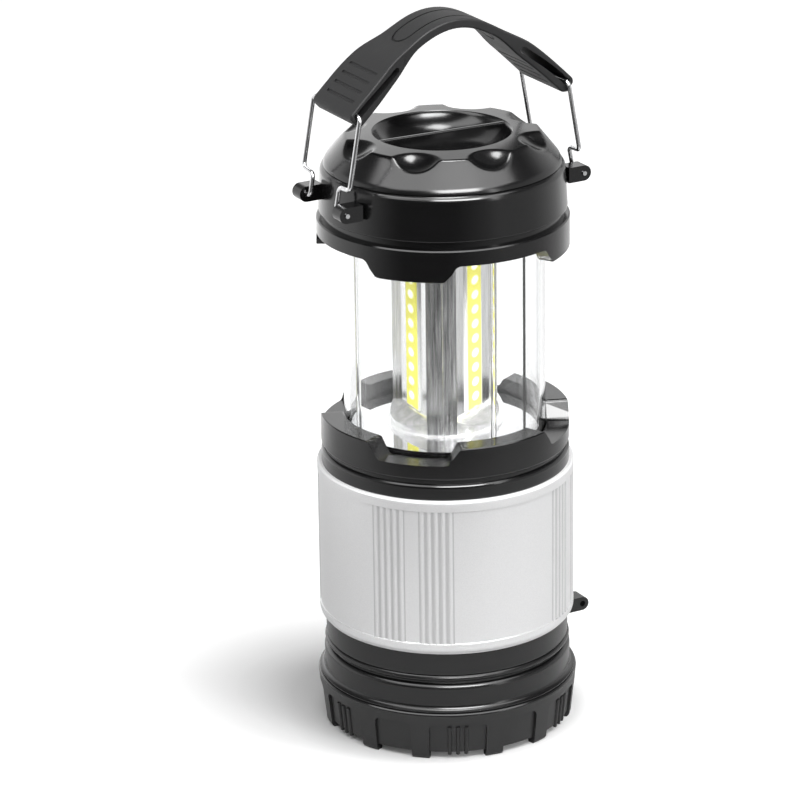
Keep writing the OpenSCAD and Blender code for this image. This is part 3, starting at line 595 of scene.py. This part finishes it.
def apply_modifier(piece, kind, **values):
    """Adds a modifier with these settings and applies it."""
    pick(piece)
    modifier = piece.modifiers.new(kind.title(), kind)
    for name, value in values.items():
        setattr(modifier, name, value)
    bpy.ops.object.modifier_apply(modifier=modifier.name)


def smooth_shading(piece, degrees):
    """Smooth shading, with an edge left sharp where it bends by more than this."""
    pick(piece)
    bpy.ops.object.shade_smooth_by_angle(angle=math.radians(degrees))


def join_to(piece, *others):
    """Unites other closed meshes with this one and removes them."""
    for other in others:
        apply_modifier(piece, "BOOLEAN", operation="UNION", solver="EXACT", object=other)
        bpy.data.objects.remove(other)


# %% [markdown]
# A round part could be a drawn profile with a Spin or a Screw modifier. Here it is made ring by
# ring, as on a lathe, because each ring can then be widened to an exact radius: a circle is
# added, and its edge is extruded and resized again and again along a profile of radius and
# height. Both ends close in a fan of triangles.

# %% Turned parts
def turned(name, profile, sides):
    """A closed part turned about the Z axis. Its profile runs from the axis out and back."""
    first_r, first_z = profile[0]
    bpy.ops.object.select_all(action="DESELECT")
    bpy.ops.mesh.primitive_circle_add(vertices=sides, radius=first_r * MM, fill_type="NGON",
                                      location=(0, 0, first_z * MM))
    made = active_mesh(name)
    bpy.ops.object.transform_apply(location=True)
    bpy.ops.object.mode_set(mode="EDIT")
    bpy.ops.mesh.select_mode(type="EDGE")
    bpy.ops.mesh.select_all(action="SELECT")
    bpy.ops.mesh.poke()
    bpy.ops.mesh.select_all(action="DESELECT")
    bpy.ops.mesh.select_non_manifold()
    for (r, z), (next_r, next_z) in zip(profile, profile[1:]):
        bpy.ops.mesh.extrude_edges_move(
            TRANSFORM_OT_translate={"value": (0, 0, (next_z - z) * MM)})
        if next_r != r:
            bpy.ops.transform.resize(value=(next_r / r, next_r / r, 1), center_override=(0, 0, 0))
    bpy.ops.mesh.edge_face_add()
    bpy.ops.mesh.poke()
    bpy.ops.mesh.select_all(action="SELECT")
    bpy.ops.mesh.normals_make_consistent(inside=False)
    bpy.ops.object.mode_set(mode="OBJECT")
    return made


# %% [markdown]
# ## The cap's dome
#
# The top of the cap is one moulding: a dish for two fingers, a flat ring, a cone, and eight
# scallops pressed into the edge between ring and cone. Every edge of a moulding is a little
# round, and on a black part those round edges are what the eye sees. A Boolean and a Bevel would
# leave ragged edges where the scallops meet the cone. So the height is a formula: a soft minimum
# of the dish, the ring, the cone and the scallops. The lower surface wins, and where two are
# about level the edge between them is round.

# %% The dome's surface
DISH_Z, DISH_FLAT, DISH_FILLET = 196.3, 11.5, 12
RIM_R, RIM_Z, RIM_FALL = 23.4, 203.5, 0.06
CONE_R, CONE_Z, CONE_FALL = 31.8, 202.8, 1.266
SCALLOPS, SCALLOP_PLACE, SCALLOP_R, SCALLOP_LOW = 8, 35.5, 12.9, 199.4
EDGE_ROUND, SCALLOP_ROUND = 0.5, 1.0
HIGH_ABOVE = 400                  # a height that never wins


def soft_minimum(a, b, width):
    """The lower of two heights, rounded off where they differ by less than the width."""
    near = max(width - abs(a - b), 0) / width
    return min(a, b) - near * near * width / 4


def bowl(distance, radius, low):
    """Height of a ball's underside at a distance from its axis. The ball's lowest point is low."""
    if distance >= radius:
        return HIGH_ABOVE
    return low + radius - math.sqrt(radius * radius - distance * distance)


def dome_height(r, turn):
    """Height of the dome at a radius and a turn about the axis."""
    ring = RIM_Z - RIM_FALL * (r - RIM_R)
    cone = CONE_Z - CONE_FALL * (r - CONE_R)
    z = soft_minimum(ring, cone, EDGE_ROUND)
    z = soft_minimum(z, bowl(max(r - DISH_FLAT, 0), DISH_FILLET, DISH_Z), EDGE_ROUND)
    pitch = 2 * math.pi / SCALLOPS
    off = (turn + pitch / 2) % pitch - pitch / 2
    across = math.hypot(r * math.cos(off) - SCALLOP_PLACE, r * math.sin(off))
    return soft_minimum(z, bowl(across, SCALLOP_R, SCALLOP_LOW), SCALLOP_ROUND)


# %% [markdown]
# The dome is turned first as if it had no scallops, with fine rings where the edges are. Its
# height half way between two scallops serves for every ring. Then each vertex of the top takes
# the height that the formula gives for its own turn, as a sculpting brush would press them in.

# %% Turn the dome and press in the scallops
DOME_SIDES = 384
BETWEEN_SCALLOPS = math.pi / SCALLOPS
SCALLOPED_FROM = 20               # radius inside which nothing is pressed in
LEVEL = 0.01                      # mm within which a vertex belongs to the top
DISH_FROM, DISH_STEP, DISH_RINGS = 1, 1.5, 12
FINE_FROM, FINE_STEP, FINE_RINGS = 18.4, 0.4, 50
dish_rings = [DISH_STEP * k + DISH_FROM for k in range(DISH_RINGS)]
fine_rings = [FINE_FROM + FINE_STEP * k for k in range(FINE_RINGS)]
top = [(r, dome_height(r, BETWEEN_SCALLOPS)) for r in dish_rings + fine_rings]
foot = [(38.55, 193.8), (38.6, 193.4), (37.5, 193.4), (37.5, 189.5), (35.8, 189.5)]
hollow = [(35.8, 193.3), (31.5, 197.6), (24, 197.6), (12, 194.5), (1, 194.5)]
dome = turned("dome_moulding", top + foot + hollow, DOME_SIDES)
for vertex in dome.data.vertices:
    place = vertex.co / MM
    r = math.hypot(place.x, place.y)
    if SCALLOPED_FROM < r < fine_rings[-1] + LEVEL:
        if abs(place.z - dome_height(r, BETWEEN_SCALLOPS)) < LEVEL:
            vertex.co.z = dome_height(r, math.atan2(place.y, place.x)) * MM
print("dome:", len(dome.data.vertices), "vertices")

# %% [markdown]
# ## Finger bar and screw posts
#
# Two fingers pinch a thin bar across the dish. A stretched cube would not follow the dish, so the
# bar is a flat outline: the corners of an eight-sided circle are moved to it, the face is
# extruded to the bar's thickness, and the top edges are bevelled.

# %% The bar
BAR_TURN, BAR_THICK, BAR_ROUND = -3, 1.5, 0.35
BAR_TOP, BAR_SHOULDER = RIM_Z - 0.2, 202      # edges above the shoulder are rounded
bar_half = [(13, 195.6), (20.5, 199), (23.1, 202.8), (22.6, BAR_TOP)]
bar_outline = bar_half + [(-x, z) for x, z in reversed(bar_half)]
bpy.ops.object.select_all(action="DESELECT")
bpy.ops.mesh.primitive_circle_add(vertices=len(bar_outline), radius=1, fill_type="NGON")
bar = active_mesh("bar")
for vertex, (x, z) in zip(bar.data.vertices, bar_outline):
    vertex.co = (x * MM, -BAR_THICK / 2 * MM, z * MM)
bpy.ops.object.mode_set(mode="EDIT")
bpy.ops.mesh.select_mode(type="FACE")
bpy.ops.mesh.select_all(action="SELECT")
bpy.ops.mesh.extrude_region_move(TRANSFORM_OT_translate={"value": (0, BAR_THICK * MM, 0)})
bpy.ops.mesh.select_all(action="SELECT")
bpy.ops.mesh.normals_make_consistent(inside=False)
bpy.ops.mesh.select_all(action="DESELECT")
bpy.ops.mesh.select_mode(type="EDGE")
bpy.ops.object.mode_set(mode="OBJECT")
for edge in bar.data.edges:
    first, second = (bar.data.vertices[k].co / MM for k in edge.vertices)
    lengthwise = abs(first.y - second.y) < BAR_THICK / 2
    edge.select = lengthwise and min(first.z, second.z) > BAR_SHOULDER
bpy.ops.object.mode_set(mode="EDIT")
bpy.ops.mesh.bevel(offset=BAR_ROUND * MM, segments=4)
bpy.ops.object.mode_set(mode="OBJECT")
bpy.ops.transform.rotate(value=-math.radians(BAR_TURN), orient_axis="Z",
                         center_override=(0, 0, 0))
bpy.ops.object.transform_apply(rotation=True, location=True)
print("bar:", [round(v / MM, 2) for v in bar.dimensions])

# %% [markdown]
# The dome is screwed on from below, into four hollow posts. Each is turned like the dome, round
# its screw hole, and moved to its place. A Boolean modifier then unites bar and posts with the
# dome: they overlap it, and a union leaves one skin with no faces inside.

# %% Screw posts, and one moulding
POSTS, POST_TURN, POST_PLACE, POST_SIDES = 4, 45, 28.5, 32
DOME_SHARP = 32                   # degrees above which an edge stays sharp
post_profile = [(1.15, 188), (1.15, 178), (3.2, 178), (3.2, 198.6), (0.5, 198.6)]
posts = []
for k in range(POSTS):
    turn = math.radians(POST_TURN + 360 / POSTS * k)
    post = turned("post", post_profile, POST_SIDES)
    post.data.transform(Matrix.Translation(
        (POST_PLACE * MM * math.cos(turn), POST_PLACE * MM * math.sin(turn), 0)))
    posts.append(post)
join_to(dome, bar, *posts)
smooth_shading(dome, DOME_SHARP)
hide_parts("cap_dome")
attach(dome, "head")
dome.data.materials.append(satin_black)
print("dome box:", [round(v / MM, 2) for v in dome.dimensions])

# %% [markdown]
# ## Lamp strips
#
# Each strip is a bead of gel poured over a row of small lamps, so its long edges and its ends are
# round. A rounded profile could be swept along it, but that leaves square ends. A cube is
# stretched to the strip's size on a flat that faces +X, and its outer edges are bevelled in edit
# mode, which rounds edges and ends alike.

# %% One gel strip
STRIP_DEPTH, STRIP_THICK, STRIP_WIDE = 11.7, 0.4, 7.8
STRIP_ROUND, STRIP_STEPS, STRIP_SHARP = 0.38, 5, 40
STRIP_MIDDLE = (STRIP_DEPTH + STRIP_THICK / 2) * MM
low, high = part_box("led_strip_1")
bpy.ops.object.select_all(action="DESELECT")
bpy.ops.mesh.primitive_cube_add(
    size=1, location=(STRIP_MIDDLE, 0, (low.z + high.z) / 2),
    scale=(STRIP_THICK * MM, STRIP_WIDE * MM, high.z - low.z))
strip = active_mesh("gel_strip_1")
bpy.ops.object.transform_apply(location=True, scale=True)
bpy.ops.object.mode_set(mode="EDIT")
bpy.ops.mesh.select_mode(type="EDGE")
bpy.ops.mesh.select_all(action="DESELECT")
bpy.ops.object.mode_set(mode="OBJECT")
for edge in strip.data.edges:
    edge.select = all(strip.data.vertices[k].co.x > STRIP_MIDDLE for k in edge.vertices)
bpy.ops.object.mode_set(mode="EDIT")
bpy.ops.mesh.bevel(offset=STRIP_ROUND * MM, segments=STRIP_STEPS)
bpy.ops.mesh.select_all(action="SELECT")
bpy.ops.mesh.normals_make_consistent(inside=False)
bpy.ops.object.mode_set(mode="OBJECT")
smooth_shading(strip, STRIP_SHARP)
print("strip:", len(strip.data.polygons), "faces")

# %% [markdown]
# The finished strip is copied, each copy with its own mesh, and each mesh is turned to its own
# flat. Turning the object would be simpler, but then its pattern would turn with it.

# %% Three strips on their flats
strips = [strip]
for k in (1, 2):
    strips.append(strip.copy())
    strips[k].name = f"gel_strip_{k + 1}"
    strips[k].data = strip.data.copy()
    scene.collection.objects.link(strips[k])
for k, piece in enumerate(strips):
    piece.data.transform(Matrix.Rotation(math.radians(FLAT_TURNS[k]), 4, "Z"))
    piece.data.materials.append(phosphors[k])
    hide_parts(f"led_strip_{k + 1}")
    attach(piece, "head")
print("strips:", [piece.name for piece in strips])

# %% [markdown]
# ## The rubber strap
#
# The strap is one rubber moulding with two paddles, cross grooves and a line pressed round its
# grip. Modelling it again would only repeat its solid, which has the right shape but knife-sharp
# edges, and rubber never has those. So its mesh is copied, its triangles are merged into whole
# faces, and a Bevel modifier rounds those edges that have a bevel weight.

# %% A rounded copy of a solid
MERGE, FLAT = 0.002 * MM, math.radians(0.2)   # what counts as one vertex, and as one plane
ROUND_STEPS, ROUND_SHARP = 3, 35


def rounded_copy(node, name, width, sharp_from, chosen):
    """A copy of a CAD node. Its sharp edges are rounded where chosen says yes to their middle."""
    piece = bpy.data.objects.new(name, nodes[node].data.copy())
    scene.collection.objects.link(piece)
    pick(piece)
    bpy.ops.mesh.customdata_custom_splitnormals_clear()
    bpy.ops.object.mode_set(mode="EDIT")
    bpy.ops.mesh.select_all(action="SELECT")
    bpy.ops.mesh.remove_doubles(threshold=MERGE)
    bpy.ops.mesh.dissolve_limited(angle_limit=FLAT)
    bpy.ops.mesh.select_all(action="SELECT")
    bpy.ops.mesh.normals_make_consistent(inside=False)
    bpy.ops.object.mode_set(mode="OBJECT")
    weights = piece.data.attributes.new("bevel_weight_edge", "FLOAT", "EDGE")
    bends = {}
    for face in piece.data.polygons:
        for edge_key in face.edge_keys:
            bends.setdefault(edge_key, []).append(face.normal)
    for edge in piece.data.edges:
        bend = bends[edge.key][0].angle(bends[edge.key][1])
        start, end = (piece.data.vertices[k].co for k in edge.vertices)
        if bend > math.radians(sharp_from) and chosen((start + end) / 2 / MM):
            weights.data[edge.index].value = 1
    apply_modifier(piece, "BEVEL", limit_method="WEIGHT", width=width * MM,
                   segments=ROUND_STEPS, use_clamp_overlap=False)
    smooth_shading(piece, ROUND_SHARP)
    apply_modifier(piece, "WEIGHTED_NORMAL", keep_sharp=True)
    return piece


# %% [markdown]
# If every sharp edge were rounded, the narrow grooves would close up. Only the strap's outline is:
# over the grip that is what lies outside the pressed line, and on the paddles what lies outside
# the grooves and away from the slots that the bails go through. The strap's middle is a curve, so
# the distance from a slot is measured from that curve.

# %% The strap's outline, and the strap
STRAP_TOP, STRAP_BEND, STRAP_CURVE = 241.2, 1.15, 23.4   # its middle line is a hyperbola
STRAP_OFF = 1.6                                          # how far it rests to the front
GRIP_X, LINE_Y, GROOVE_Y, END_X, SLOT_REACH = 22, 6.3, 9.2, 38.8, 1.95
STRAP_ROUND, STRAP_SHARP = 0.6, 30


def on_outline(place):
    """Edges of the strap's own outline, not those of its grooves, slots or pressed line."""
    x, across = abs(place.x), abs(place.y + STRAP_OFF)
    if x < GRIP_X:
        return across > LINE_Y
    reach = math.hypot(x, STRAP_CURVE)
    middle_z = STRAP_TOP - STRAP_BEND * (reach - STRAP_CURVE)
    offset = abs(place.z - middle_z) / math.hypot(STRAP_BEND * x / reach, 1)
    return across > GROOVE_Y and (offset > SLOT_REACH or x > END_X)


strap = rounded_copy("grip_strap", "rubber_strap", STRAP_ROUND, STRAP_SHARP, on_outline)
strap.data.materials.clear()
strap.data.materials.append(strap_rubber)
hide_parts("grip_strap")
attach(strap, "strap")
print("strap:", len(strap.data.polygons), "faces, box",
      [round(v / MM, 2) for v in strap.dimensions])

# %% [markdown]
# ## The floor
#
# The lantern stands on a pale floor that fades to white. A white picture could be had from very
# strong lamps, but they would bleach the lantern too. So the floor glows by itself, only for rays
# that come straight from the camera or through clear plastic. The glow is held back close round
# the lantern's foot, which paints a contact shadow there, and on the side away from the light,
# where its shadow lies, which paints that shadow darker.

# %% A floor that keeps its shadow
FLOOR_SIZE = 8
SHADE_TURN, SHADE_LEAN = 62, 0.5      # the light's side, in degrees, and how much it matters
SHADE_FROM, SHADE_TO, FLOOR_GLOW = 28 * MM, 60 * MM, 0.6
CONTACT_FROM, CONTACT_TO, CONTACT_GLOW = 43 * MM, 55 * MM, 0.3
bpy.ops.object.select_all(action="DESELECT")
bpy.ops.mesh.primitive_plane_add(size=FLOOR_SIZE, location=(0, 0, 0))
floor = active_mesh("Floor")
floor_paint, tree, shader = new_material("Pale floor", Roughness=0.9, Specular_IOR_Level=0.0)
shader.inputs["Base Color"].default_value = (0.8, 0.8, 0.8, 1)
shader.inputs["Emission Color"].default_value = (1, 1, 1, 1)
path = add_node(tree, "LightPath").outputs
seen = maths(tree, "MAXIMUM", path["Is Camera Ray"], path["Is Transmission Ray"])
floor_place = object_place(tree)
length = add_node(tree, "VectorMath", operation="LENGTH")
tree.links.new(floor_place, length.inputs[0])
from_middle = length.outputs["Value"]
# Painted shade: on the side away from the light the glow only starts further out.
light_side = Matrix.Rotation(math.radians(SHADE_TURN), 3, "Z") @ to_camera
lit = along(tree, floor_place, tuple(light_side))
lit = maths(tree, "MULTIPLY_ADD", lit, SHADE_LEAN, from_middle)
glow = remap(tree, lit, SHADE_FROM, SHADE_TO, 0.0, FLOOR_GLOW)
# Painted contact shadow: the glow is lower close round the lantern's foot.
contact_shade = remap(tree, from_middle, CONTACT_FROM, CONTACT_TO, CONTACT_GLOW, 1.0)
glow = maths(tree, "MULTIPLY", glow, contact_shade)
tree.links.new(maths(tree, "MULTIPLY", seen, glow), shader.inputs["Emission Strength"])
floor.data.materials.append(floor_paint)
print("floor:", FLOOR_SIZE, "m")

# %% [markdown]
# A glossy black surface mirrors everything round it. Near the lantern it should mirror the floor,
# but a wide white floor would turn its whole lower half grey. A smaller floor would show its edge
# to the camera. So the far floor is see-through, for rays that have left a glossy surface only.

# %% A floor that glossy surfaces see only near the lantern
MIRRORED_TO, MIRRORED_GONE = 240 * MM, 340 * MM
ONE_BOUNCE = 0.5                  # a ray's depth is 0 before its first bounce and 1 after it
after_gloss = maths(tree, "GREATER_THAN", path["Glossy Depth"], ONE_BOUNCE)
far_floor = remap(tree, from_middle, MIRRORED_TO, MIRRORED_GONE, 0.0, 1.0)
see_through = add_node(tree, "BsdfTransparent")
choose_shader(tree, maths(tree, "MULTIPLY", after_gloss, far_floor),
              shader.outputs[0], see_through.outputs[0])
print("floor paint:", len(tree.nodes), "nodes")

# %% [markdown]
# ## The room
#
# A black object takes its shape from what it mirrors: white walls at both sides, a dark gap in
# front, a dark ceiling, and a table below. Real walls of mesh would do, but they would also stand
# in the way of other views, so the world itself is the room. Its strength is a product of soft
# steps along a few directions.

# %% What glossy surfaces mirror
GAP_TURN = -15                    # degrees from the camera to the middle of the dark gap
# Each step: where it begins and ends along its direction, and the strength at both ends
GAP, BACK_WALL = (0.3, 0.88, 1.0, 0.07), (-0.9, -0.3, 1.5, 0.9)
FAR_WALL, SIDE_WALLS = (-0.985, -0.92, 0.45, 1.0), (-0.6, 0.75, 1.35, 0.65)
CEILING, TABLE = (0.37, 0.5, 1.0, 0.15), (-0.5, -0.68, 0.0, 0.8)
world = bpy.data.worlds.new("White room")
scene.world = world
world.use_nodes = True
tree = world.node_tree
sky = add_node(tree, "TexCoord").outputs["Generated"]
gap_side = Matrix.Rotation(math.radians(GAP_TURN), 3, "Z") @ to_camera
frontwards = along(tree, sky, tuple(gap_side))
rightwards = along(tree, sky, (-to_camera.y, to_camera.x, 0))
upwards = axes(tree, sky)[2]
gap = remap(tree, frontwards, *GAP)
back_wall = remap(tree, frontwards, *BACK_WALL)
far_wall = remap(tree, frontwards, *FAR_WALL)
ceiling = remap(tree, upwards, *CEILING)
side_walls = remap(tree, rightwards, *SIDE_WALLS)
table = remap(tree, upwards, *TABLE)
back_wall = maths(tree, "MULTIPLY", back_wall, far_wall)
mirrored = maths(tree, "MULTIPLY", maths(tree, "MULTIPLY", gap, back_wall), ceiling)
mirrored = maths(tree, "MAXIMUM", maths(tree, "MULTIPLY", mirrored, side_walls), table)
print("room:", len(tree.nodes), "nodes")

# %% [markdown]
# The camera sees a white background, and so does a ray that has passed through the clear tube. A
# ray that has left a glossy surface sees the room above. One that has left a matt surface sees a
# dimmer room, because most light on the lantern should come from the lamps. One world with a
# Light Path node does all three.

# %% Three kinds of ray
WHITE, MATT_LEVEL = 1.0, 0.34
path = add_node(tree, "LightPath").outputs
after_gloss = maths(tree, "GREATER_THAN", path["Glossy Depth"], ONE_BOUNCE)
after_matt = maths(tree, "GREATER_THAN", path["Diffuse Depth"], ONE_BOUNCE)
strength = between(tree, after_gloss, WHITE, mirrored)
strength = between(tree, after_matt, strength, MATT_LEVEL)
background = tree.nodes["Background"]
background.inputs["Color"].default_value = (1, 1, 1, 1)
tree.links.new(strength, background.inputs["Strength"])
print("room light on matt surfaces:", MATT_LEVEL)

# %% [markdown]
# ## Lamps
#
# Softboxes give the long highlights and the one shadow. Spot lamps would give hard dots on every
# glossy edge. A lamp that makes a good highlight on black plastic is often too strong for the
# silver sleeve, so each lamp can be for glossy reflections only, for matt surfaces only, or both.

# %% Softboxes
AIM_Z = 120 * MM                  # all lamps look at the middle of the lantern
CAMERA_TURN = math.atan2(to_camera.y, to_camera.x)


def softbox(name, azimuth, elevation, distance, width, height, radiance, matt=True, gloss=True):
    """An area lamp that faces the lantern. Azimuth is 0 at the camera and grows to the right."""
    turn, tip = CAMERA_TURN + math.radians(azimuth), math.radians(elevation)
    away = Vector((math.cos(turn) * math.cos(tip), math.sin(turn) * math.cos(tip), math.sin(tip)))
    data = bpy.data.lights.new(name, "AREA")
    data.shape = "RECTANGLE"
    data.size, data.size_y = width, height
    data.energy = radiance * math.pi * width * height
    lamp = bpy.data.objects.new(name, data)
    scene.collection.objects.link(lamp)
    lamp.location = Vector((0, 0, AIM_Z)) + away * distance
    lamp.rotation_euler = away.to_track_quat("Z", "Y").to_euler()
    lamp.visible_diffuse, lamp.visible_glossy = matt, gloss
    return lamp


panel = softbox("Overhead panel", 0, 65, 1.2, 2.4, 0.95, 4.4, matt=False)
panel.rotation_euler = (0, 0, math.atan2(to_camera.x, -to_camera.y))   # it hangs level
softbox("Overhead fill", 4, 56, 1.1, 1.5, 0.36, 5.5, gloss=False)
softbox("Right softbox", 49, 14, 1.3, 0.16, 0.8, 5.0)
softbox("Front softbox", 16, 42, 1.1, 0.7, 0.38, 24.0, matt=False)
softbox("Top softbox", 60, 86, 1.2, 0.35, 0.35, 18.0, matt=False)
softbox("Key softbox", 84, 50, 0.8, 0.4, 0.3, 6.0, gloss=False)
